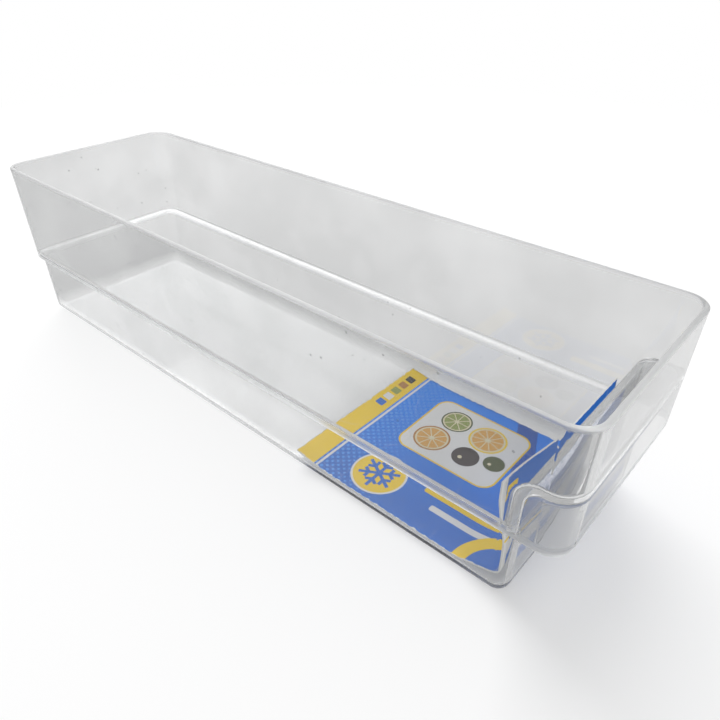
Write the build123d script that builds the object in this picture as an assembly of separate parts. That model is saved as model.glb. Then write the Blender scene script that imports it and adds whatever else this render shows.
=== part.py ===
from build123d import *

import os
from math import radians, tan

# Clear stepped storage bin for a refrigerator shelf, with the folded card that lies in it.
# Millimetres, +Z up. The bin stands on z = 0, its length runs along Y and its finger pull faces -Y.

# Bin, outside
length = 368.0
width = 108.0
height = 95.0
rim_corner_radius = 11.0
upper_draft = 1.1
step_height = 38.0
ledge_width = 2.8
lower_corner_radius = 6.5
lower_draft = 1.25
bottom_edge_radius = 4.5

# Bin, sheet and small radii
wall = 2.4
floor_thickness = 2.5
rim_edge_radius = 0.7
step_edge_radius = 1.1
lip_radius = 1.1
ledge_root_radius = 1.2
floor_root_radius = 2.0

# Finger pull: a shelf carried forward from the lower front wall to the skirt
pull_depth = 19.5
pull_height = 23.6
hump_radius = 9.0
shelf_root_radius = 3.0
pocket_root_radius = 1.6

# Folded card: one panel on the floor, one that stands behind the front wall and leans back
card_length = 109.5
card_height = 48.0
card_thickness = 0.6
card_fold_radius = 6.0
card_lean = 3.0
card_side_clearance = 1.6
card_front_clearance = 1.7
card_floor_gap = 0.4

tolerance = 1e-4


class Tier:
    """A drafted run of wall: its plan outline at one level, which leans out as it rises."""

    def __init__(self, half_width, front, back, radius, level, draft):
        self.half_width = half_width
        self.front = front
        self.back = back
        self.radius = radius
        self.level = level
        self.draft = draft

    def lean(self, z):
        """How far the wall at z stands outside the wall at the tier's own level."""
        return (z - self.level) * tan(radians(self.draft))

    def side_face(self, z, inset=0.0):
        """X of the right-hand face at z, set in by inset."""
        return self.half_width + self.lean(z) - inset

    def front_face(self, z, inset=0.0):
        """Y of the front face at z, set in by inset."""
        return self.front - self.lean(z) + inset

    def block(self, low, high, inset=0.0):
        """The solid inside the wall's face from low to high, set in by inset all round."""
        grow = self.lean(high) - inset
        outline = RectangleRounded(
            2 * (self.half_width + grow),
            self.back - self.front + 2 * grow,
            self.radius + grow,
        )
        top = Pos(0, (self.front + self.back) / 2, high) * outline
        return extrude(top, amount=high - low, dir=(0, 0, -1), taper=self.draft)


upper = Tier(width / 2, -length / 2, length / 2, rim_corner_radius, height, upper_draft)
step_inset = ledge_width - upper.lean(step_height)
lower = Tier(
    width / 2 - step_inset,
    -length / 2 + pull_depth,
    length / 2 - step_inset,
    lower_corner_radius,
    step_height,
    lower_draft,
)
ledge_top = step_height + wall
shelf_underside = step_height + pull_height
shelf_top = shelf_underside + wall


def flat_at(shape, z):
    """Whether an edge or face lies flat at height z."""
    box = shape.bounding_box()
    return abs(box.min.Z - z) < tolerance and abs(box.max.Z - z) < tolerance


def edges_at(solid, z):
    """The edges of a solid that lie flat at height z."""
    return [edge for edge in solid.edges() if flat_at(edge, z)]


def ring_at(solid, z):
    """The flat face at height z that has one opening in it."""
    return next(face for face in solid.faces() if flat_at(face, z) and len(face.inner_wires()) == 1)


def arch(low, crest, inset, radius):
    """A prism across the bin, bounded behind by the lower front wall's face, carried up on its
    draft, and above by a level at crest, with the rounded hump between the two."""
    reach = upper.front - wall
    foot = (lower.front_face(low, inset), low)
    corner = (lower.front_face(crest, inset), crest)
    over = FilletPolyline(foot, corner, (reach, crest), radius=radius)
    under = Polyline((reach, crest), (reach, low), foot)
    return extrude(make_face(Plane.YZ * (over + under)), amount=width / 2, both=True)


def root_edges(solid, low, crest, front, back):
    """The edges where an arch meets the walls beside and before it, without its smooth seams."""
    roots = []
    for edge in solid.edges():
        box = edge.bounding_box()
        flat_below = box.max.Z < low + tolerance
        above = box.max.Z > crest + tolerance
        hump_seam = box.size.X > width / 2 and box.min.Y > front + tolerance
        rises = box.min.Z < low + tolerance
        corner_seam = rises and box.max.Y < back - tolerance
        if not (flat_below or above or hump_seam or corner_seam):
            roots.append(edge)
    return roots


def outer_form():
    """The bin's outside as a solid: the upper tier standing on the narrower lower one."""
    foot = lower.block(0, ledge_top)
    foot = fillet(edges_at(foot, 0), bottom_edge_radius)
    body = upper.block(step_height, height)
    body = fillet(edges_at(body, step_height), step_edge_radius)
    return body + foot


def hollow():
    """The space inside the bin: the lower well, the wider upper well and the run over the shelf."""
    well = lower.block(floor_thickness, ledge_top, wall)
    well = fillet(edges_at(well, floor_thickness), floor_root_radius)
    space = upper.block(ledge_top, height, wall) + well
    space = fillet(ring_at(space, ledge_top).inner_wires()[0].edges(), lip_radius)
    space = fillet(ring_at(space, ledge_top).outer_wire().edges(), ledge_root_radius)
    room = upper.block(0, height, wall) - arch(0, shelf_top, wall, hump_radius)
    front = upper.front_face(shelf_top, wall)
    back = lower.front_face(0, wall)
    room = fillet(root_edges(room, 0, shelf_top, front, back), shelf_root_radius)
    return space & room


def finger_pocket():
    """The downward-open space between the lower front wall, the shelf and the skirt."""
    side = upper.side_face(step_height, wall)
    front = upper.front_face(step_height, wall)
    back = lower.front_face(step_height)
    outline = Rectangle(2 * side, 2 * (back - front))
    outline = fillet(outline.vertices().group_by(Axis.Y)[0], rim_corner_radius - wall)
    plan = Pos(0, back, step_height) * outline
    pocket = extrude(plan, amount=pull_height, taper=lower_draft)
    pocket &= arch(step_height, shelf_underside, 0, hump_radius - wall)
    crest_front = front + pull_height * tan(radians(lower_draft))
    roots = root_edges(pocket, step_height, shelf_underside, crest_front, back)
    return fillet(roots, pocket_root_radius)


def bin_body():
    """The one-piece moulding, its rim edges broken all round."""
    body = outer_form() - hollow() - finger_pocket()
    return fillet(edges_at(body, height), rim_edge_radius)


def label_card():
    """The printed card: a floor panel with a standing panel bent up softly at its front."""
    under = floor_thickness + card_floor_gap
    front = lower.front_face(under, wall) + card_front_clearance
    back = (front + card_length, under)
    top = (front + card_height * tan(radians(card_lean)), under + card_height)
    outside = FilletPolyline(back, (front, under), top, radius=card_fold_radius)
    section = offset(outside, card_thickness, side=Side.RIGHT)
    half = lower.side_face(under, wall) - card_side_clearance
    return extrude(make_face(Plane.YZ * section), amount=half, both=True)


os.makedirs("parts", exist_ok=True)
export_step(bin_body(), "parts/bin_body.step")
export_step(label_card(), "parts/label_card.step")
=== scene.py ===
"""Clear stepped refrigerator bin and the printed card that lies in it, dressed for a portrait."""

import logging
from dataclasses import dataclass, field
from enum import Enum
from math import cos, radians, sin
from typing import NamedTuple

import bpy
from mathutils import Matrix, Vector


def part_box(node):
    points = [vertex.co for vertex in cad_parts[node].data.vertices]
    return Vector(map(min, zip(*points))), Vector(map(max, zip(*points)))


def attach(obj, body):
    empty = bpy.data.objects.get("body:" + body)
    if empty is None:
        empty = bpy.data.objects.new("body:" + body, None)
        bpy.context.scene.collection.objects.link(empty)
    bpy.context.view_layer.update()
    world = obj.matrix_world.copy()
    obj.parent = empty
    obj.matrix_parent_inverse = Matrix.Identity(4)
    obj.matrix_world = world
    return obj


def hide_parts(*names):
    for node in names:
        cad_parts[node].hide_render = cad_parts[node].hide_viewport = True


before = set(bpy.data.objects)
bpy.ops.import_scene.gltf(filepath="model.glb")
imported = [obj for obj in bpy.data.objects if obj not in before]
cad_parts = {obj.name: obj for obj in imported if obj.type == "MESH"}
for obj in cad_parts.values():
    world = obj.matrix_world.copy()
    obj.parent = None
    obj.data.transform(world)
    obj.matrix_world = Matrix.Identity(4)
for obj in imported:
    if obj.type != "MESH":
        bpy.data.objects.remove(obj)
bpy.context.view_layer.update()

MM = 0.001

log = logging.getLogger("storage_bin")

Colour = tuple[float, float, float, float]
Point = tuple[float, float, float]
Spot = tuple[float, float]
Names = tuple[str, ...]
Socket = bpy.types.NodeSocket
Tree = bpy.types.NodeTree
Value = Socket | Colour | Point | float | None

PLAIN_WHITE: Colour = (1.0, 1.0, 1.0, 1.0)

# Ranges that a value is mapped from or to
RISING: Spot = (0.0, 1.0)
FALLING: Spot = (1.0, 0.0)
EITHER_SIDE: Spot = (-1.0, 1.0)

# Vectors on a flat sheet: its origin, its two directions and the middle of a unit square
ORIGIN: Point = (0.0, 0.0, 0.0)
IN_PLANE: Point = (1.0, 1.0, 0.0)
MIDDLE: Point = (0.5, 0.5, 0.0)

# Sockets of a mix of two colours: its mask, the lower and the upper colour, and what comes out
MIX_MASK = 0
MIX_UNDER = 6
MIX_OVER = 7
MIX_RESULT = 2

# A ray whose count of bounces lies under this has had none
NONE_YET = 0.5


class Ink(Enum):
    """Linear colours of the inks and boards on the card."""

    BLUE = (0.004, 0.145, 0.600, 1.0)
    # Painted light: a lighter blue that stands in for brighter light on the card, not an ink of its own
    BLUE_PAINTED_LIGHT = (0.004, 0.240, 0.920, 1.0)
    LIGHT_BLUE = (0.070, 0.330, 0.930, 1.0)
    DEEP_BLUE = (0.003, 0.095, 0.460, 1.0)
    YELLOW = (0.930, 0.640, 0.015, 1.0)
    WHITE = (0.800, 0.800, 0.790, 1.0)
    CREAM = (0.770, 0.700, 0.480, 1.0)
    OLIVE = (0.080, 0.100, 0.030, 1.0)
    PALE_GREEN = (0.300, 0.360, 0.090, 1.0)
    AMBER = (0.470, 0.210, 0.040, 1.0)
    PALE_AMBER = (0.740, 0.400, 0.090, 1.0)
    PLUM = (0.040, 0.026, 0.028, 1.0)
    BLACK = (0.020, 0.020, 0.020, 1.0)


class CardZone(Enum):
    """Faces of the card, in the order of its material slots."""

    INSIDE = 0
    OUTSIDE = 1
    CUT_EDGE = 2


class Grain(NamedTuple):
    """A noise: how many of its lumps lie along a unit of length, and how many octaves it has."""

    scale: float
    octaves: float


class Sketch:
    """A node tree that is drawn by short calls."""

    def __init__(self, tree: Tree) -> None:
        """Takes the tree to draw in."""
        self.tree = tree

    def node(self, kind: str, *links: Value, **settings: object) -> bpy.types.Node:
        """Adds a node.

        Args:
            kind: The node's type name.
            links: One entry for each input from the first: a socket to link, a value to set, or None.
            settings: Properties of the node itself.

        Returns:
            The new node.
        """
        made = self.tree.nodes.new(kind)
        for name, value in settings.items():
            setattr(made, name, value)
        for socket, value in zip(made.inputs, links):
            self.feed(socket, value)
        return made

    def feed(self, socket: Socket, value: Value) -> None:
        """Links a socket to another, or sets its value.

        Args:
            socket: The input to feed.
            value: An output to link, a plain value, or None to leave the input as it is.
        """
        if value is None:
            return
        if isinstance(value, Socket):
            self.tree.links.new(value, socket)
        else:
            socket.default_value = value

    def fill(self, node: bpy.types.Node, values: dict[str, Value]) -> None:
        """Feeds a node's inputs by their names."""
        for name, value in values.items():
            self.feed(node.inputs[name], value)

    def math(self, operation: str, *values: Value) -> Socket:
        """Adds a Math node and returns its output."""
        return self.node("ShaderNodeMath", *values, operation=operation).outputs[0]

    def vector(self, operation: str, *values: Value) -> Socket:
        """Adds a Vector Math node and returns the vector that it puts out."""
        return self.node("ShaderNodeVectorMath", *values, operation=operation).outputs["Vector"]

    def length(self, vector: Socket) -> Socket:
        """Measures a vector."""
        return self.node("ShaderNodeVectorMath", vector, operation="LENGTH").outputs["Value"]

    def axes(self, vector: Socket) -> list[Socket]:
        """Splits a vector into its X, Y and Z."""
        return list(self.node("ShaderNodeSeparateXYZ", vector).outputs)

    def span(self, value: Value, source: Spot, target: Spot) -> Socket:
        """Maps a value from its source range to a target range, held at the ends."""
        return self.node("ShaderNodeMapRange", value, *source, *target).outputs[0]

    def layer(self, mask: Value, under: Value, over: Value) -> Socket:
        """Lays one colour over another by a mask.

        Args:
            mask: Where the upper colour shows.
            under: The lower colour.
            over: The upper colour.

        Returns:
            The mixed colour.
        """
        mix = self.node("ShaderNodeMix", data_type="RGBA")
        for place, value in ((MIX_MASK, mask), (MIX_UNDER, under), (MIX_OVER, over)):
            self.feed(mix.inputs[place], value)
        return mix.outputs[MIX_RESULT]

    def within(self, value: Value, limit: Value, edge: Value) -> Socket:
        """Gives 1 where a value is under a limit and 0 over it, fading by an edge on either side."""
        gap = self.math("DIVIDE", self.math("SUBTRACT", value, limit), edge)
        return self.span(gap, EITHER_SIDE, FALLING)

    def noise(self, place: Socket, scale: Value, octaves: float) -> Socket:
        """Adds a noise texture and returns its value."""
        return self.node("ShaderNodeTexNoise", place, None, scale, octaves).outputs[0]

    def turned(self, place: Socket, centre: Point, angle: float) -> Socket:
        """Turns a place in the XY plane.

        Args:
            place: The place to turn.
            centre: The point that stays where it is.
            angle: The angle in degrees.

        Returns:
            The turned place.
        """
        turn = self.node("ShaderNodeVectorRotate", place, centre)
        self.feed(turn.inputs["Angle"], radians(angle))
        return turn.outputs[0]

    def bump(self, height: Socket, depth: float) -> Socket:
        """Raises a surface.

        Args:
            height: How high it stands, from 0 to 1.
            depth: What 1 is in metres.

        Returns:
            The raised surface's normal.
        """
        raised = self.node("ShaderNodeBump")
        self.fill(raised, {"Height": height, "Distance": depth})
        return raised.outputs["Normal"]

    def blend(self, share: Value, first: Socket, second: Socket) -> Socket:
        """Mixes two shaders, all of the first at 0 and all of the second at 1."""
        return self.node("ShaderNodeMixShader", share, first, second).outputs[0]

    def stamp(self, group: Tree, *values: Value) -> list[Socket]:
        """Places a node group, with one value for each of its inputs, and returns its outputs."""
        return list(self.node("ShaderNodeGroup", *values, node_tree=group).outputs)


def blank_material(name: str) -> tuple[bpy.types.Material, Sketch]:
    """Makes a material with nothing in it.

    Args:
        name: The finish's name.

    Returns:
        The material and its sketch.
    """
    made = bpy.data.materials.new(name)
    made.use_nodes = True
    made.node_tree.nodes.clear()
    return made, Sketch(made.node_tree)


def add_object(name: str, data: bpy.types.ID) -> bpy.types.Object:
    """Makes an object at the origin of the scene.

    Args:
        name: The object's name.
        data: Its mesh, light or camera.

    Returns:
        The new object.
    """
    made = bpy.data.objects.new(name, data)
    bpy.context.scene.collection.objects.link(made)
    return made


def on_sheet(spot: Spot) -> Point:
    """Gives a spot of a flat sheet as a vector."""
    return (*spot, 0.0)


def eased(share: float) -> float:
    """Eases a share from 0 to 1, level at both ends."""
    return share * share * (3.0 - 2.0 * share)


class MaskGroup:
    """A node group in the making, with its sketch and the sockets that it is given."""

    def __init__(self, name: str, vectors: Names, numbers: Names, masks: Names) -> None:
        """Makes the group with its named sockets.

        Args:
            name: The group's name.
            vectors: Names of the places and sizes that it is given.
            numbers: Names of the single numbers that it is given after them.
            masks: Names of the masks and values that it puts out.
        """
        self.tree = bpy.data.node_groups.new(name, "ShaderNodeTree")
        for labels, kind in ((vectors, "NodeSocketVector"), (numbers, "NodeSocketFloat")):
            for label in labels:
                self.tree.interface.new_socket(label, in_out="INPUT", socket_type=kind)
        for label in masks:
            self.tree.interface.new_socket(label, in_out="OUTPUT", socket_type="NodeSocketFloat")
        self.sketch = Sketch(self.tree)
        self.given = list(self.sketch.node("NodeGroupInput").outputs)[: len(vectors) + len(numbers)]
        self.result = self.sketch.node("NodeGroupOutput")

    def put(self, mask: str, value: Socket) -> None:
        """Puts a value out under a mask's name."""
        self.sketch.feed(self.result.inputs[mask], value)


class PatchEffect:
    """A printed patch with rounded corners."""

    def tree(self) -> Tree:
        """Draws the group.

        Returns:
            A group that marks the patch.
        """
        vectors = ("Place", "Centre", "Half size")
        group = MaskGroup("printed patch", vectors, ("Corner", "Edge"), ("Mask",))
        sketch = group.sketch
        place, centre, half, corner, edge = group.given
        away = sketch.vector("ABSOLUTE", sketch.vector("SUBTRACT", place, centre))
        core = sketch.vector("SUBTRACT", half, corner)
        past = sketch.vector("MAXIMUM", sketch.vector("SUBTRACT", away, core), ORIGIN)
        reach = sketch.length(sketch.vector("MULTIPLY", past, IN_PLANE))
        group.put("Mask", sketch.within(sketch.math("SUBTRACT", reach, corner), 0.0, edge))
        return group.tree


@dataclass(frozen=True)
class FruitEffect:
    """A slice of citrus fruit from above, its lengths as shares of its radius."""

    pith_reach: float = 0.90
    flesh_reach: float = 0.80
    wall_half: float = 0.13

    def tree(self) -> Tree:
        """Draws the group.

        Returns:
            A group that marks the whole slice, what lies inside its rind, and its segments.
        """
        numbers = ("Radius", "Segments", "Edge")
        group = MaskGroup("fruit slice", ("Place", "Centre"), numbers, ("Rind", "Pith", "Flesh"))
        sketch = group.sketch
        place, centre, radius, segments, edge = group.given
        from_centre = sketch.vector("SUBTRACT", place, centre)
        reach = sketch.length(from_centre)
        across, along, _ = sketch.axes(from_centre)
        angle = sketch.math("ARCTAN2", along, across)
        wave = sketch.math("SINE", sketch.math("MULTIPLY", angle, sketch.math("DIVIDE", segments, 2.0)))
        from_wall = sketch.math("MULTIPLY", sketch.math("ABSOLUTE", wave), reach)
        pith = sketch.math("MULTIPLY", radius, self.pith_reach)
        flesh = sketch.math("MULTIPLY", radius, self.flesh_reach)
        half = sketch.math("MULTIPLY", radius, self.wall_half)
        between = sketch.math("SUBTRACT", 1.0, sketch.within(from_wall, half, edge))
        group.put("Rind", sketch.within(reach, radius, edge))
        group.put("Pith", sketch.within(reach, pith, edge))
        group.put("Flesh", sketch.math("MULTIPLY", sketch.within(reach, flesh, edge), between))
        return group.tree


@dataclass(frozen=True)
class StarEffect:
    """A plain star of ice, folded from half an arm and a twig, its lengths as shares of its radius."""

    arms: int = 6
    fork: float = 0.50
    twig_length: float = 0.36
    twig_turn: float = 60.0

    def tree(self) -> Tree:
        """Draws the group.

        Returns:
            A group that marks the star.
        """
        group = MaskGroup("ice star", ("Place", "Centre"), ("Radius", "Half width", "Edge"), ("Mask",))
        sketch = group.sketch
        place, centre, radius, width, edge = group.given
        from_centre = sketch.vector("SUBTRACT", place, centre)
        reach = sketch.length(from_centre)
        x, y, _ = sketch.axes(from_centre)
        angle = sketch.math("PINGPONG", sketch.math("ARCTAN2", y, x), radians(180.0 / self.arms))
        along = sketch.math("MULTIPLY", reach, sketch.math("COSINE", angle))
        aside = sketch.math("MULTIPLY", reach, sketch.math("SINE", angle))
        in_width = sketch.within(aside, width, edge)
        arm = sketch.math("MULTIPLY", in_width, sketch.within(along, radius, edge))
        twig = self.twig(sketch, along, aside, group.given)
        group.put("Mask", sketch.math("MAXIMUM", arm, twig))
        return group.tree

    def twig(self, sketch: Sketch, along: Socket, aside: Socket, given: list[Socket]) -> Socket:
        """Draws the twig of half an arm.

        Args:
            sketch: The group's sketch.
            along: The distance from the centre along the arm.
            aside: The distance from the arm's middle line.
            given: The group's own sockets.

        Returns:
            The twig's mask.
        """
        _, _, radius, width, edge = given
        rise = sin(radians(self.twig_turn))
        run = cos(radians(self.twig_turn))
        past_fork = sketch.math("SUBTRACT", along, sketch.math("MULTIPLY", radius, self.fork))
        up = sketch.math("MULTIPLY_ADD", past_fork, run, sketch.math("MULTIPLY", aside, rise))
        off = sketch.math("MULTIPLY_ADD", past_fork, -rise, sketch.math("MULTIPLY", aside, run))
        in_width = sketch.within(sketch.math("ABSOLUTE", off), width, edge)
        in_length = sketch.within(up, sketch.math("MULTIPLY", radius, self.twig_length), edge)
        past_root = sketch.math("GREATER_THAN", up, 0.0)
        return sketch.math("MULTIPLY", sketch.math("MULTIPLY", in_width, in_length), past_root)


@dataclass(frozen=True)
class DotEffect:
    """A square screen of printed dots, turned on the sheet."""

    turn: float = 45.0

    def tree(self) -> Tree:
        """Draws the group.

        Returns:
            A group that marks the dots.
        """
        group = MaskGroup("dot screen", ("Place",), ("Pitch", "Dot radius", "Edge"), ("Mask",))
        sketch = group.sketch
        place, pitch, radius, edge = group.given
        count = sketch.vector("DIVIDE", sketch.turned(place, ORIGIN, self.turn), pitch)
        from_middle = sketch.vector("SUBTRACT", sketch.vector("FRACTION", count), MIDDLE)
        reach = sketch.length(sketch.vector("MULTIPLY", from_middle, IN_PLANE))
        group.put("Mask", sketch.within(sketch.math("MULTIPLY", reach, pitch), radius, edge))
        return group.tree


@dataclass(frozen=True)
class CardWear:
    """Handling marks of a printed card, in the sheet's own millimetres."""

    patches: Grain = Grain(0.35, 4.0)
    border_patches: Spot = (0.45, 0.75)
    border_bite: float = 0.90
    border_width: float = 0.10
    border_fade: float = 0.12
    fold_patches: Spot = (0.40, 0.65)
    fold_loss: float = 0.70
    fold_width: float = 0.35
    fold_fade: float = 0.30
    drift: Grain = Grain(0.05, 2.0)
    drift_reach: float = 14.0
    crease_scale: float = 0.021
    crease_width: float = 0.004
    crease_fade: float = 0.008
    crease_places: Grain = Grain(0.05, 1.0)
    crease_patches: Spot = (0.42, 0.62)
    crease_loss: float = 0.22
    tone: Grain = Grain(0.11, 5.0)
    fibre: Grain = Grain(2.2, 3.0)

    def tree(self) -> Tree:
        """Draws the group.

        Returns:
            A group that marks lost ink and creases, and puts out the tone and the fibres.
        """
        masks = ("Rubbed", "Crease", "Tone", "Fibre")
        group = MaskGroup("card wear", ("Place", "Sheet"), ("Fold",), masks)
        sketch = group.sketch
        place, sheet, fold = group.given
        patchy = sketch.noise(place, *self.patches)
        border = self.border(sketch, place, sheet, patchy)
        cracks = self.cracks(sketch, place, fold, patchy)
        crease = self.crease(sketch, place)
        faded = sketch.math("MULTIPLY", crease, self.crease_loss)
        group.put("Rubbed", sketch.math("MAXIMUM", sketch.math("MAXIMUM", border, cracks), faded))
        group.put("Crease", crease)
        group.put("Tone", sketch.noise(place, *self.tone))
        group.put("Fibre", sketch.noise(place, *self.fibre))
        return group.tree

    def border(self, sketch: Sketch, place: Socket, sheet: Socket, patchy: Socket) -> Socket:
        """Rubs ink off along the sheet's borders.

        Args:
            sketch: The group's sketch.
            place: The place on the sheet.
            sheet: The sheet's size.
            patchy: A noise that makes the loss uneven.

        Returns:
            The mask of the lost ink.
        """
        half = sketch.vector("MULTIPLY", sheet, MIDDLE)
        away = sketch.vector("ABSOLUTE", sketch.vector("SUBTRACT", place, half))
        side, end, _ = sketch.axes(sketch.vector("SUBTRACT", half, away))
        bite = sketch.span(patchy, self.border_patches, (0.0, self.border_bite))
        inward = sketch.math("SUBTRACT", sketch.math("MINIMUM", side, end), bite)
        return sketch.within(inward, self.border_width, self.border_fade)

    def cracks(self, sketch: Sketch, place: Socket, fold: Socket, patchy: Socket) -> Socket:
        """Whitens the fold.

        Args:
            sketch: The group's sketch.
            place: The place on the sheet.
            fold: Where the fold lies along the sheet.
            patchy: A noise that makes the loss uneven.

        Returns:
            The mask of the cracked ink.
        """
        along = sketch.axes(place)[1]
        from_fold = sketch.math("ABSOLUTE", sketch.math("SUBTRACT", along, fold))
        worn = sketch.span(patchy, self.fold_patches, (0.0, self.fold_loss))
        return sketch.math("MULTIPLY", sketch.within(from_fold, self.fold_width, self.fold_fade), worn)

    def crease(self, sketch: Sketch, place: Socket) -> Socket:
        """Draws a few long creases that stray over the sheet.

        Args:
            sketch: The group's sketch.
            place: The place on the sheet.

        Returns:
            The mask of the creases.
        """
        drift = sketch.node("ShaderNodeTexNoise", place, None, *self.drift).outputs["Color"]
        strayed = sketch.vector("MULTIPLY_ADD", drift, (self.drift_reach, self.drift_reach, 0.0), place)
        cells = sketch.node(
            "ShaderNodeTexVoronoi", strayed, None, self.crease_scale, feature="DISTANCE_TO_EDGE"
        )
        line = sketch.within(cells.outputs["Distance"], self.crease_width, self.crease_fade)
        here = sketch.span(sketch.noise(place, *self.crease_places), self.crease_patches, RISING)
        return sketch.math("MULTIPLY", line, here)


@dataclass(frozen=True)
class SpeckleEffect:
    """Sparse small flecks and a soft cloudiness."""

    haze_octaves: float = 5.0

    def tree(self) -> Tree:
        """Draws the group.

        Returns:
            A group that marks the flecks and puts out the cloudiness.
        """
        numbers = ("Speck scale", "Speck size", "Share", "Haze scale")
        group = MaskGroup("specks and haze", ("Place",), numbers, ("Speck", "Haze"))
        sketch = group.sketch
        place, scale, size, share, haze = group.given
        cells = sketch.node("ShaderNodeTexVoronoi", place, None, scale).outputs
        spot = sketch.math("LESS_THAN", cells["Distance"], size)
        pick = sketch.node("ShaderNodeSeparateColor", cells["Color"]).outputs[0]
        chosen = sketch.math("LESS_THAN", pick, share)
        group.put("Speck", sketch.math("MULTIPLY", spot, chosen))
        group.put("Haze", sketch.noise(place, haze, self.haze_octaves))
        return group.tree


class EffectGroups:
    """The node groups that finishes and motifs stamp."""

    def __init__(self) -> None:
        """Draws each group once."""
        self.patch = PatchEffect().tree()
        self.fruit = FruitEffect().tree()
        self.star = StarEffect().tree()
        self.dots = DotEffect().tree()
        self.wear = CardWear().tree()
        self.speckle = SpeckleEffect().tree()


@dataclass(frozen=True)
class ClearPlastic:
    """Water-clear moulded plastic, slightly wavy and lightly scuffed, its levels in metres."""

    # Painted shade: the grey wall tints are darker than the plastic's own faint tint, standing in for the
    # shade seen through the walls
    wall_tint_painted_shade: Colour = (0.650, 0.653, 0.654, 1.0)
    cloud_tint_painted_shade: Colour = (0.718, 0.721, 0.722, 1.0)
    cloud: Grain = Grain(26.0, 3.0)
    cloud_span: Spot = (0.35, 0.65)
    # Painted light: the floor's clearer tint lightens it, standing in for the light that the floor
    # reflects
    floor_tint_painted_light: Colour = (0.970, 0.972, 0.973, 1.0)
    floor_rise: Spot = (0.003, 0.010)
    fleck: Colour = (0.360, 0.365, 0.365, 1.0)
    fleck_scale: float = 110.0
    fleck_size: float = 0.07
    fleck_share: float = 0.35
    clarity: float = 0.994
    ior: float = 1.44
    polish: float = 0.008
    scuff: float = 0.050
    haze_scale: float = 45.0
    haze_span: Spot = (0.45, 0.75)
    floor_scuff: float = 0.110
    rim_scuff: float = 0.560
    rim_rise: Spot = (0.0930, 0.0948)
    ledge_scuff: float = 0.420
    ledge_level: float = 0.0392
    ledge_reach: float = 0.0019
    ledge_fade: float = 0.0006
    wave: Grain = Grain(16.0, 1.0)
    wave_height: float = 0.005 * MM
    lamp_pass: Colour = (0.945, 0.947, 0.948, 1.0)
    mirror_pass: Colour = (0.720, 0.722, 0.723, 1.0)
    edge_glow: Colour = (0.620, 0.623, 0.624, 1.0)
    edge_return: float = 0.50
    edge_clear: float = 0.08

    def material(self, groups: EffectGroups) -> bpy.types.Material:
        """Builds the finish.

        Args:
            groups: The shared node groups.

        Returns:
            The plastic's material.
        """
        made, sketch = blank_material("clear_plastic_bin")
        place = sketch.node("ShaderNodeTexCoord").outputs["Object"]
        flecks = (self.fleck_scale, self.fleck_size, self.fleck_share)
        speck, haze = sketch.stamp(groups.speckle, place, *flecks, self.haze_scale)
        level = sketch.axes(place)[2]
        on_floor = sketch.span(level, self.floor_rise, FALLING)
        shader = sketch.node("ShaderNodeBsdfPrincipled")
        sketch.fill(shader, {
            "Base Color": sketch.layer(speck, self.colour(sketch, place, on_floor), self.fleck),
            "Roughness": self.roughness(sketch, level, on_floor, haze),
            "IOR": self.ior,
            "Transmission Weight": self.clarity,
            "Normal": sketch.bump(sketch.noise(place, *self.wave), self.wave_height),
        })
        sketch.node("ShaderNodeOutputMaterial", self.surface(sketch, shader.outputs[0]))
        return made

    def colour(self, sketch: Sketch, place: Socket, on_floor: Socket) -> Socket:
        """Tints the cloudy walls grey and the floor clearer: the walls' grey is the plastic's faint tint
        plus painted shade for the shade seen through them, and the clearer floor is painted light for the
        light that it reflects.

        Args:
            sketch: The material's sketch.
            place: The place on the bin.
            on_floor: The mask of the floor.

        Returns:
            The sheet's colour.
        """
        cloudy = sketch.span(sketch.noise(place, *self.cloud), self.cloud_span, RISING)
        walls = sketch.layer(cloudy, self.wall_tint_painted_shade, self.cloud_tint_painted_shade)
        # The floor's clearer tint is painted light, laid over the walls' tint that carries painted shade
        return sketch.layer(on_floor, walls, self.floor_tint_painted_light)

    def roughness(self, sketch: Sketch, level: Socket, on_floor: Socket, haze: Socket) -> Socket:
        """Scuffs the polish, most of all on the floor, the rim and the ledge.

        Args:
            sketch: The material's sketch.
            level: The height over the foot.
            on_floor: The mask of the floor.
            haze: The cloudiness of the polish.

        Returns:
            The sheet's roughness.
        """
        from_ledge = sketch.math("ABSOLUTE", sketch.math("SUBTRACT", level, self.ledge_level))
        scuffs = (
            (on_floor, self.floor_scuff),
            (sketch.span(level, self.rim_rise, RISING), self.rim_scuff),
            (sketch.within(from_ledge, self.ledge_reach, self.ledge_fade), self.ledge_scuff),
        )
        rough = sketch.span(haze, self.haze_span, (self.polish, self.scuff))
        for mask, scuff in scuffs:
            rough = sketch.math("MULTIPLY_ADD", mask, scuff, rough)
        return rough

    def surface(self, sketch: Sketch, plastic: Socket) -> Socket:
        """Lets lamps shine through the sheet, and light that is trapped in it out at its edges.

        Args:
            sketch: The material's sketch.
            plastic: The clear shader.

        Returns:
            The shader for every kind of ray.
        """
        path = sketch.node("ShaderNodeLightPath").outputs
        inside = sketch.node("ShaderNodeNewGeometry").outputs["Backfacing"]
        first = sketch.math("LESS_THAN", path["Transparent Depth"], NONE_YET)
        trapped = sketch.math("MULTIPLY", inside, first)
        onward = sketch.node("ShaderNodeBsdfTransparent", self.mirror_pass).outputs[0]
        through = sketch.node("ShaderNodeBsdfTranslucent", self.edge_glow).outputs[0]
        back = sketch.node("ShaderNodeBsdfDiffuse", self.edge_glow).outputs[0]
        glow = sketch.blend(self.edge_return, through, back)
        edge = sketch.blend(self.edge_clear, glow, onward)
        mirrored = sketch.blend(trapped, onward, edge)
        body = sketch.blend(path["Is Reflection Ray"], plastic, mirrored)
        lamps = sketch.node("ShaderNodeBsdfTransparent", self.lamp_pass).outputs[0]
        return sketch.blend(path["Is Shadow Ray"], body, lamps)


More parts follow.
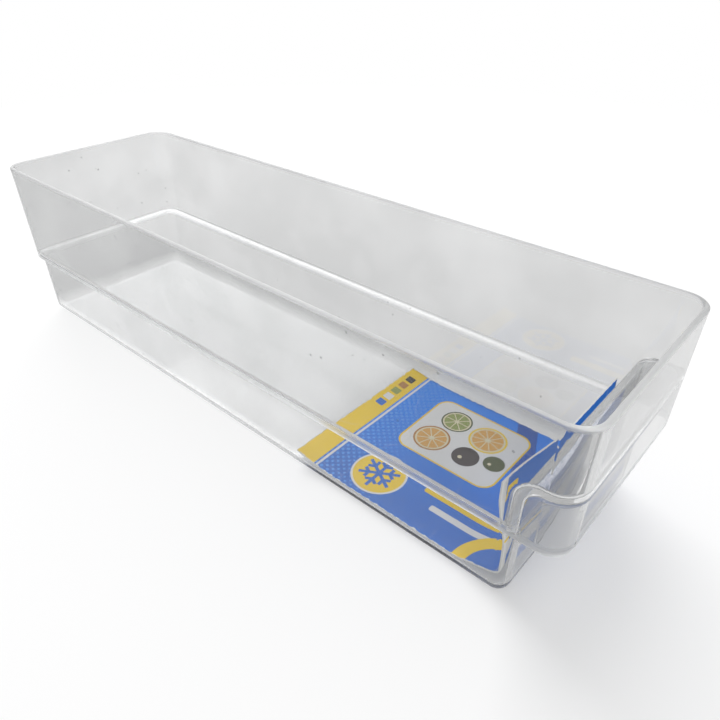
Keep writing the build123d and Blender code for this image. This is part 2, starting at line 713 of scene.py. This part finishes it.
@dataclass(frozen=True)
class CardBoard:
    """The white core of the card, bare and fibrous where it was cut."""

    shade: Colour = Ink.WHITE.value
    fibre: Colour = (0.560, 0.550, 0.520, 1.0)
    grain: Grain = Grain(2600.0, 3.0)
    grain_span: Spot = (0.30, 0.70)
    roughness: Spot = (0.75, 0.95)
    depth: float = 0.03 * MM

    def material(self) -> bpy.types.Material:
        """Builds the finish of the cut edges.

        Returns:
            The bare board's material.
        """
        made, sketch = blank_material("card_cut_edge")
        grain = sketch.noise(sketch.node("ShaderNodeTexCoord").outputs["Object"], *self.grain)
        shader = sketch.node("ShaderNodeBsdfPrincipled")
        sketch.fill(shader, {
            "Base Color": sketch.layer(grain, self.shade, self.fibre),
            "Roughness": sketch.span(grain, self.grain_span, self.roughness),
            "Normal": sketch.bump(grain, self.depth),
        })
        sketch.node("ShaderNodeOutputMaterial", shader.outputs[0])
        return made


@dataclass(frozen=True)
class Pen:
    """What a motif is drawn with: a sketch, the shared groups and the sheet's own millimetres."""

    sketch: Sketch
    groups: EffectGroups
    place: Socket
    edge: float = 0.06


@dataclass(frozen=True)
class Patch:
    """A printed rectangle with rounded corners, in the sheet's own millimetres and degrees."""

    centre: Spot
    half: Spot
    corner: float
    ink: Ink
    turn: float = 0.0

    def draw(self, pen: Pen, under: Value) -> Socket:
        """Prints the patch over what lies under it.

        Args:
            pen: What to draw with.
            under: The colour so far.

        Returns:
            The colour with the patch.
        """
        centre = on_sheet(self.centre)
        place = pen.sketch.turned(pen.place, centre, self.turn) if self.turn else pen.place
        sizes = (centre, on_sheet(self.half), self.corner, pen.edge)
        mask = pen.sketch.stamp(pen.groups.patch, place, *sizes)[0]
        return pen.sketch.layer(mask, under, self.ink.value)


def disc(centre: Spot, radius: float, ink: Ink) -> Patch:
    """Gives a patch that is round."""
    return Patch(centre, half=(radius, radius), corner=radius, ink=ink)


@dataclass(frozen=True)
class FruitSlice:
    """A printed slice of citrus fruit."""

    centre: Spot
    radius: float
    rind: Ink
    flesh: Ink
    segments: int = 9

    def draw(self, pen: Pen, under: Value) -> Socket:
        """Prints the slice over what lies under it.

        Args:
            pen: What to draw with.
            under: The colour so far.

        Returns:
            The colour with the slice.
        """
        sizes = (on_sheet(self.centre), self.radius, float(self.segments), pen.edge)
        masks = pen.sketch.stamp(pen.groups.fruit, pen.place, *sizes)
        colour = under
        for mask, ink in zip(masks, (self.rind, Ink.CREAM, self.flesh)):
            colour = pen.sketch.layer(mask, colour, ink.value)
        return colour


@dataclass(frozen=True)
class IceStar:
    """A printed star of ice."""

    centre: Spot
    radius: float
    half_width: float
    ink: Ink

    def draw(self, pen: Pen, under: Value) -> Socket:
        """Prints the star over what lies under it.

        Args:
            pen: What to draw with.
            under: The colour so far.

        Returns:
            The colour with the star.
        """
        sizes = (on_sheet(self.centre), self.radius, self.half_width, pen.edge)
        mask = pen.sketch.stamp(pen.groups.star, pen.place, *sizes)[0]
        return pen.sketch.layer(mask, under, self.ink.value)


@dataclass(frozen=True)
class DotFade:
    """A screen of printed dots that fades out along the sheet."""

    along: Spot
    pitch: float
    radius: float
    ink: Ink

    def draw(self, pen: Pen, under: Value) -> Socket:
        """Prints the dots over what lies under them.

        Args:
            pen: What to draw with.
            under: The colour so far.

        Returns:
            The colour with the dots.
        """
        along = pen.sketch.axes(pen.place)[1]
        radius = pen.sketch.span(along, self.along, (self.radius, -pen.edge))
        mask = pen.sketch.stamp(pen.groups.dots, pen.place, self.pitch, radius, pen.edge)[0]
        return pen.sketch.layer(mask, under, self.ink.value)


@dataclass(frozen=True)
class PaintedLightSweep:
    """A lighter blue laid over the ground ink as painted light, for the brighter light on the card's far
    part; it comes in gradually across the sheet and goes out again towards the fold.
    """

    across: Spot
    along: Spot
    ink: Ink

    def draw(self, pen: Pen, under: Value) -> Socket:
        """Paints the sweep of painted light over what lies under it.

        Args:
            pen: What to draw with.
            under: The colour so far.

        Returns:
            The colour with the sweep.
        """
        across, along, _ = pen.sketch.axes(pen.place)
        comes = pen.sketch.span(across, self.across, RISING)
        goes = pen.sketch.span(along, self.along, FALLING)
        return pen.sketch.layer(pen.sketch.math("MULTIPLY", comes, goes), under, self.ink.value)


Motif = Patch | FruitSlice | IceStar | DotFade | PaintedLightSweep


@dataclass(frozen=True)
class CardPrint:
    """Coated print on one side of the card, with the marks of handling."""

    name: str
    ground: Ink
    motifs: tuple[Motif, ...]
    roughness: Spot = (0.32, 0.48)
    tone_span: Spot = (0.30, 0.70)
    rubbed_roughness: float = 0.30
    shine: float = 0.02
    fade: float = 0.02
    fade_span: Spot = (0.40, 0.75)
    crease_depth: float = 0.14 * MM
    fibre_share: float = 0.05

    def material(self, groups: EffectGroups, sheet: Spot, fold: float) -> bpy.types.Material:
        """Builds the print.

        Args:
            groups: The shared node groups.
            sheet: The sheet's width, and its length along its path, in millimetres.
            fold: Where the fold lies along the sheet in millimetres.

        Returns:
            The printed side's material.
        """
        made, sketch = blank_material(self.name)
        plan = sketch.node("ShaderNodeUVMap", uv_map="sheet").outputs[0]
        pen = Pen(sketch, groups, sketch.vector("MULTIPLY", plan, on_sheet(sheet)))
        colour: Value = self.ground.value
        for motif in self.motifs:
            colour = motif.draw(pen, colour)
        rubbed, crease, tone, fibre = sketch.stamp(groups.wear, pen.place, on_sheet(sheet), fold)
        faded = sketch.span(tone, self.fade_span, (0.0, self.fade))
        rough = sketch.span(tone, self.tone_span, self.roughness)
        relief = sketch.math("MULTIPLY_ADD", fibre, self.fibre_share, crease)
        shader = sketch.node("ShaderNodeBsdfPrincipled")
        sketch.fill(shader, {
            "Base Color": sketch.layer(sketch.math("MAXIMUM", rubbed, faded), colour, Ink.WHITE.value),
            "Roughness": sketch.math("MULTIPLY_ADD", rubbed, self.rubbed_roughness, rough),
            "Specular IOR Level": self.shine,
            "Normal": sketch.bump(relief, self.crease_depth),
        })
        sketch.node("ShaderNodeOutputMaterial", shader.outputs[0])
        return made


# Print of the card, in millimetres across the sheet from its near edge and along it from its back edge
TILE: Spot = (60.5, 55.0)
BADGE: Spot = (16.0, 38.0)
RING: Spot = (0.0, 108.0)
FIRST_SQUARE: Spot = (56.0, 5.4)
SQUARE_PITCH = 6.4
SQUARE_INKS = (Ink.BLUE, Ink.WHITE, Ink.PALE_GREEN, Ink.AMBER, Ink.BLACK)


def ink_squares() -> tuple[Patch, ...]:
    """Gives the row of small squares on the border, one for each ink.

    Returns:
        The squares.
    """
    across, along = FIRST_SQUARE
    return tuple(
        Patch(centre=(across + SQUARE_PITCH * place, along), half=(2.3, 2.3), corner=0.5, ink=ink)
        for place, ink in enumerate(SQUARE_INKS)
    )


INSIDE_PRINT: tuple[Motif, ...] = (
    # Painted light: a lighter blue sweep where the card looks more brightly lit, easing back to the
    # ground blue towards the near edge and the fold
    PaintedLightSweep(across=(10.0, 62.0), along=(92.0, 106.0), ink=Ink.BLUE_PAINTED_LIGHT),
    DotFade(along=(12.0, 72.0), pitch=2.6, radius=0.85, ink=Ink.LIGHT_BLUE),
    Patch(centre=(40.0, 96.0), half=(90.0, 5.0), corner=0.5, ink=Ink.DEEP_BLUE, turn=24.0),
    Patch(centre=(45.0, 2.5), half=(60.0, 8.5), corner=0.5, ink=Ink.YELLOW),
    Patch(centre=(45.0, 12.6), half=(60.0, 0.6), corner=0.3, ink=Ink.WHITE),
    *ink_squares(),
    Patch(centre=TILE, half=(22.4, 27.0), corner=7.2, ink=Ink.YELLOW),
    Patch(centre=TILE, half=(21.5, 26.1), corner=6.3, ink=Ink.WHITE),
    FruitSlice(centre=(52.0, 41.5), radius=9.2, rind=Ink.AMBER, flesh=Ink.PALE_AMBER),
    FruitSlice(centre=(70.5, 44.0), radius=8.0, rind=Ink.OLIVE, flesh=Ink.PALE_GREEN, segments=8),
    disc(centre=(51.5, 61.5), radius=6.7, ink=Ink.PLUM),
    disc(centre=(49.6, 59.5), radius=1.1, ink=Ink.CREAM),
    FruitSlice(centre=(68.5, 63.5), radius=9.6, rind=Ink.YELLOW, flesh=Ink.PALE_AMBER, segments=10),
    disc(centre=(56.0, 74.5), radius=5.2, ink=Ink.OLIVE),
    disc(centre=(54.5, 72.9), radius=0.9, ink=Ink.CREAM),
    disc(centre=BADGE, radius=13.4, ink=Ink.WHITE),
    disc(centre=BADGE, radius=12.4, ink=Ink.YELLOW),
    IceStar(centre=BADGE, radius=9.8, half_width=0.85, ink=Ink.BLUE),
    Patch(centre=(23.5, 80.0), half=(3.0, 20.0), corner=1.2, ink=Ink.YELLOW),
    Patch(centre=(14.5, 84.0), half=(1.6, 16.0), corner=0.8, ink=Ink.WHITE),
    disc(centre=RING, radius=19.0, ink=Ink.YELLOW),
    disc(centre=RING, radius=12.5, ink=Ink.BLUE),
)

OUTSIDE_PRINT: tuple[Motif, ...] = (
    Patch(centre=(45.0, 54.0), half=(34.0, 38.0), corner=4.0, ink=Ink.WHITE),
    Patch(centre=(1.5, 134.0), half=(2.5, 30.0), corner=0.3, ink=Ink.WHITE),
    Patch(centre=(45.0, 122.0), half=(60.0, 4.0), corner=0.3, ink=Ink.WHITE),
    Patch(centre=(45.0, 128.0), half=(60.0, 0.7), corner=0.3, ink=Ink.YELLOW),
    Patch(centre=(8.0, 147.0), half=(3.4, 4.2), corner=0.8, ink=Ink.YELLOW),
)


@dataclass
class StorageBin:
    """The clear moulding itself."""

    node: bpy.types.Object
    finish: ClearPlastic = field(default_factory=ClearPlastic)

    def dress(self, groups: EffectGroups) -> bpy.types.Object:
        """Gives the moulding its plastic.

        Args:
            groups: The shared node groups.

        Returns:
            The dressed moulding.
        """
        self.node.data.materials.clear()
        self.node.data.materials.append(self.finish.material(groups))
        return self.node


@dataclass(frozen=True)
class Bend:
    """How a sheet turns along its length: stops of travel in millimetres and slope in degrees."""

    stops: tuple[Spot, ...]

    def slope(self, travel: float) -> float:
        """Reads the slope between the stops.

        Args:
            travel: The distance from the sheet's back edge in millimetres.

        Returns:
            The sheet's slope there in degrees.
        """
        for (start, low), (end, high) in zip(self.stops, self.stops[1:]):
            if travel <= end:
                return low + (high - low) * (travel - start) / (end - start)
        return self.stops[-1][1]


@dataclass
class LabelCard:
    """The folded card: a panel on the floor and a panel that stands behind the front wall.

    Its box, thickness and shifts are in metres, and what lies along the sheet is in millimetres.
    """

    low: Vector
    high: Vector
    length: float = 156.2
    fold: float = 109.0
    thickness: float = 0.6 * MM
    near: Bend = Bend((
        (0.0, -12.0), (28.0, 0.0), (87.0, 0.0), (95.0, 15.0), (108.0, 15.0), (112.5, 91.0),
        (125.0, 91.0), (130.0, 102.0), (145.0, 102.0), (149.0, 91.0), (156.2, 90.0),
    ))
    far: Bend = Bend(((0.0, -12.0), (28.0, 0.0), (107.5, 0.0), (111.0, 90.5), (156.2, 93.0)))
    near_reach: float = 0.55
    front_shift: float = -0.2 * MM
    floor_shift: float = 0.05 * MM
    rows: int = 124
    columns: int = 36

    def slope(self, travel: float, lift: float) -> float:
        """Gives the slope in radians after some travel, where lift is the share of the near bend."""
        return radians(self.near.slope(travel) * lift + self.far.slope(travel) * (1.0 - lift))

    def profile(self, across: float) -> list[tuple[Vector, Vector]]:
        """Follows the sheet's outer side from its back edge, over the fold, to its top.

        Args:
            across: The share of the width from the near edge.

        Returns:
            Points in the YZ plane, each with the direction to the sheet's inner side.
        """
        lift = eased(max(0.0, 1.0 - across / self.near_reach))
        pace = self.length / self.rows
        point = Vector((0.0, 0.0, 0.0))
        steps: list[tuple[Vector, Vector]] = []
        for row in range(self.rows + 1):
            facing = self.slope(pace * row, lift)
            onward = self.slope(pace * (row + 0.5), lift)
            steps.append((point.copy(), Vector((0.0, sin(facing), cos(facing)))))
            point += Vector((0.0, -cos(onward), sin(onward))) * pace * MM
        ahead = min(place.y for place, _ in steps)
        below = min(place.z for place, _ in steps)
        to_front = self.low.y + self.front_shift - ahead
        to_floor = self.low.z + self.floor_shift - below
        return [(place + Vector((0.0, to_front, to_floor)), inward) for place, inward in steps]

    def points(self) -> list[Vector]:
        """Lays out the sheet's inner side and then its outer side, row by row.

        Returns:
            The mesh's points.
        """
        width = self.high.x - self.low.x
        shares = [column / self.columns for column in range(self.columns + 1)]
        profiles = [self.profile(share) for share in shares]
        made: list[Vector] = []
        for depth in (self.thickness, 0.0):
            for row in range(self.rows + 1):
                for share, steps in zip(shares, profiles):
                    place, inward = steps[row]
                    aside = Vector((self.low.x + width * share, 0.0, 0.0))
                    made.append(place + inward * depth + aside)
        return made

    def faces(self) -> tuple[list[tuple[int, ...]], list[CardZone]]:
        """Joins the points up.

        Returns:
            The faces, and the zone that each lies in.
        """
        rows, columns = self.rows + 1, self.columns + 1
        layer = rows * columns
        faces: list[tuple[int, ...]] = []
        zones: list[CardZone] = []
        for row in range(rows - 1):
            for column in range(columns - 1):
                a = row * columns + column
                b, c, d = a + 1, a + 1 + columns, a + columns
                faces += [(a, d, c, b), (layer + a, layer + b, layer + c, layer + d)]
                zones += [CardZone.INSIDE, CardZone.OUTSIDE]
        rim = list(range(columns))
        rim += [row * columns + columns - 1 for row in range(1, rows)]
        rim += [(rows - 1) * columns + column for column in range(columns - 2, -1, -1)]
        rim += [row * columns for row in range(rows - 2, 0, -1)]
        for a, b in zip(rim, rim[1:] + rim[:1]):
            faces.append((a, b, layer + b, layer + a))
            zones.append(CardZone.CUT_EDGE)
        return faces, zones

    def build(self) -> bpy.types.Object:
        """Builds the sheet as a closed mesh with its unrolled plan as UV map.

        Returns:
            The card's object.
        """
        faces, zones = self.faces()
        mesh = bpy.data.meshes.new("label_card_sheet")
        mesh.from_pydata(self.points(), [], faces)
        for polygon, zone in zip(mesh.polygons, zones):
            polygon.material_index = zone.value
            polygon.use_smooth = zone is not CardZone.CUT_EDGE
        columns = self.columns + 1
        layer = (self.rows + 1) * columns
        plan = mesh.uv_layers.new(name="sheet")
        for loop in mesh.loops:
            row, column = divmod(loop.vertex_index % layer, columns)
            plan.data[loop.index].uv = (column / self.columns, row / self.rows)
        return add_object("printed_label_card", mesh)

    def dress(self, card: bpy.types.Object, groups: EffectGroups) -> None:
        """Prints both sides and leaves the cut edges bare.

        Args:
            card: The card's object.
            groups: The shared node groups.
        """
        sheet = ((self.high.x - self.low.x) / MM, self.length)
        inside = CardPrint("card_inside_print", Ink.BLUE, INSIDE_PRINT)
        outside = CardPrint("card_outside_print", Ink.BLUE, OUTSIDE_PRINT)
        for side in (inside, outside):
            card.data.materials.append(side.material(groups, sheet, self.fold))
        card.data.materials.append(CardBoard().material())
        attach(card, "card")
        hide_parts("label_card")


@dataclass(frozen=True)
class SoftBox:
    """One rectangular soft lamp that faces the bin."""

    name: str
    place: Point
    size: Spot
    power: float

    def data(self) -> bpy.types.Light:
        """Makes the lamp's light.

        Returns:
            The light.
        """
        light = bpy.data.lights.new(self.name, "AREA")
        light.shape = "RECTANGLE"
        light.size, light.size_y = self.size
        light.energy = self.power
        return light


@dataclass(frozen=True)
class Daylight:
    """Broad even light from far away, on the side of its place."""

    name: str
    place: Point
    spread: float
    power: float

    def data(self) -> bpy.types.Light:
        """Makes the far light.

        Returns:
            The light.
        """
        light = bpy.data.lights.new(self.name, "SUN")
        light.angle = radians(self.spread)
        light.energy = self.power
        return light


@dataclass
class Studio:
    """Pale floor, soft lamps, surroundings and camera, in metres and degrees, the lens in millimetres."""

    eye: Point = (-0.1995, -0.2224, 0.2141)
    heading: float = 48.96
    pitch: float = 34.29
    roll: float = 0.21
    lens: float = 32.063
    nearest: float = 0.01
    bounces: int = 48
    floor_shade: Colour = (0.94, 0.94, 0.94, 1.0)
    floor_reach: float = 40.0
    floor_drop: float = 0.4 * MM
    shadow_share: float = 0.84
    shadow_reach: Spot = (0.30, 0.80)
    surround: float = 0.22
    lamps: tuple[SoftBox | Daylight, ...] = (
        SoftBox("window_lamp", place=(1.53, 1.96, 1.68), size=(2.3, 1.4), power=66.0),
        SoftBox("overhead_lamp", place=(0.40, 0.30, 2.80), size=(1.4, 1.4), power=20.0),
        Daylight("room_light_left", place=(-0.50, -0.87, 0.36), spread=20.0, power=1.4),
        Daylight("room_light_right", place=(-0.91, -0.42, 0.36), spread=20.0, power=1.4),
    )

    def camera(self) -> None:
        """Sets the camera to the portrait's own place and angle."""
        data = bpy.data.cameras.new("portrait_camera")
        data.lens = self.lens
        data.clip_start = self.nearest
        view = add_object("portrait_camera", data)
        turn = Matrix.Rotation(-radians(self.heading), 4, "Z")
        tilt = Matrix.Rotation(radians(90.0 - self.pitch), 4, "X")
        lean = Matrix.Rotation(radians(self.roll), 4, "Z")
        view.matrix_world = Matrix.Translation(self.eye) @ turn @ tilt @ lean
        bpy.context.scene.camera = view

    def floor(self) -> None:
        """Lays the pale floor, white where it is plain and matt where the bin's shadow falls."""
        reach, level = self.floor_reach, -self.floor_drop
        corners = [(-reach, -reach), (reach, -reach), (reach, reach), (-reach, reach)]
        mesh = bpy.data.meshes.new("floor")
        mesh.from_pydata([(x, y, level) for x, y in corners], [], [(0, 1, 2, 3)])
        made, sketch = blank_material("pale_floor")
        matt = sketch.node("ShaderNodeBsdfDiffuse", self.floor_shade).outputs[0]
        white = sketch.node("ShaderNodeEmission", PLAIN_WHITE, 1.0).outputs[0]
        away = sketch.length(sketch.node("ShaderNodeTexCoord").outputs["Object"])
        plain = sketch.span(away, self.shadow_reach, (1.0 - self.shadow_share, 1.0))
        share = sketch.math("MULTIPLY", self.seen(sketch), plain)
        sketch.node("ShaderNodeOutputMaterial", sketch.blend(share, matt, white))
        mesh.materials.append(made)
        ground = add_object("floor", mesh)

    def light(self) -> None:
        """Hangs the lamps and sets the surroundings."""
        for source in self.lamps:
            away = Vector(source.place)
            facing = away.to_track_quat("Z", "Y").to_matrix().to_4x4()
            lamp = add_object(source.name, source.data())
            lamp.matrix_world = Matrix.Translation(away) @ facing
        world = bpy.data.worlds.new("surroundings")
        world.use_nodes = True
        sketch = Sketch(world.node_tree)
        strength = sketch.span(self.seen(sketch), RISING, (self.surround, 1.0))
        sketch.fill(world.node_tree.nodes["Background"], {"Color": PLAIN_WHITE, "Strength": strength})
        bpy.context.scene.world = world

    @staticmethod
    def seen(sketch: Sketch) -> Socket:
        """Tells the rays that look at the background from those that carry light to a matt surface.

        Args:
            sketch: The sketch of the background.

        Returns:
            1 for a ray from the camera, also by gloss and through the plastic, and 0 for the others.
        """
        path = sketch.node("ShaderNodeLightPath").outputs
        mirrored = sketch.math("MAXIMUM", path["Is Glossy Ray"], path["Is Transmission Ray"])
        looking = sketch.math("MAXIMUM", path["Is Camera Ray"], mirrored)
        direct = sketch.math("LESS_THAN", path["Diffuse Depth"], NONE_YET)
        return sketch.math("MULTIPLY", looking, direct)

    def build(self) -> None:
        """Sets up the whole studio."""
        self.camera()
        self.floor()
        self.light()
        scene = bpy.context.scene
        scene.view_settings.view_transform = "Standard"
        scene.cycles.caustics_refractive = False
        scene.cycles.caustics_reflective = False
        scene.cycles.max_bounces = self.bounces
        scene.cycles.transmission_bounces = self.bounces
        scene.cycles.glossy_bounces = self.bounces
        scene.cycles.transparent_max_bounces = self.bounces


def main() -> None:
    """Builds the studio, the bin and the card."""
    logging.basicConfig(level=logging.INFO, format="%(name)s: %(message)s")
    Studio().build()
    groups = EffectGroups()
    storage_bin = StorageBin(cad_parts["bin_body"]).dress(groups)
    log.info("bin: %s, %d faces", storage_bin.name, len(storage_bin.data.polygons))
    label_card = LabelCard(*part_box("label_card"))
    card = label_card.build()
    label_card.dress(card, groups)
    log.info("card: %s, %d faces", card.name, len(card.data.polygons))


if __name__ == "__main__":
    main()
